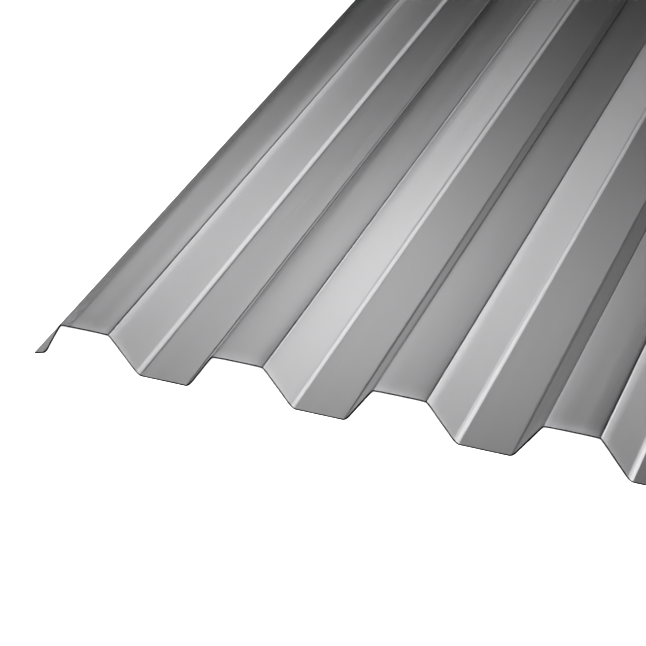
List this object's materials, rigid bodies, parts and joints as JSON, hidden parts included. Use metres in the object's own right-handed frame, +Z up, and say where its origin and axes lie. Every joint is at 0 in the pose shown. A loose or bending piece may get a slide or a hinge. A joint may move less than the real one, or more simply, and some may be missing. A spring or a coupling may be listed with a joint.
{
  "type": "corrugated polycarbonate sheet",
  "caption": "Smoke-grey see-through corrugated roofing sheet with flat-topped trapezoidal ribs along its length and a narrow lip on each long edge.",
  "frame": {"origin": "on the floor under the middle of the sheet, centred across its ribs and along its length", "axes": "+X across the ribs, towards the right in the picture; +Y along the ribs, away from the end that the picture shows; +Z up, towards the crests"},
  "size_m": [0.6668, 1.8288, 0.0202],
  "materials": {
    "smoke_polycarbonate": "clear glossy polycarbonate with a neutral smoke-grey tint"
  },
  "bodies": {
    "root": {"corrugated_sheet": "smoke_polycarbonate"}
  },
  "joints": []
}
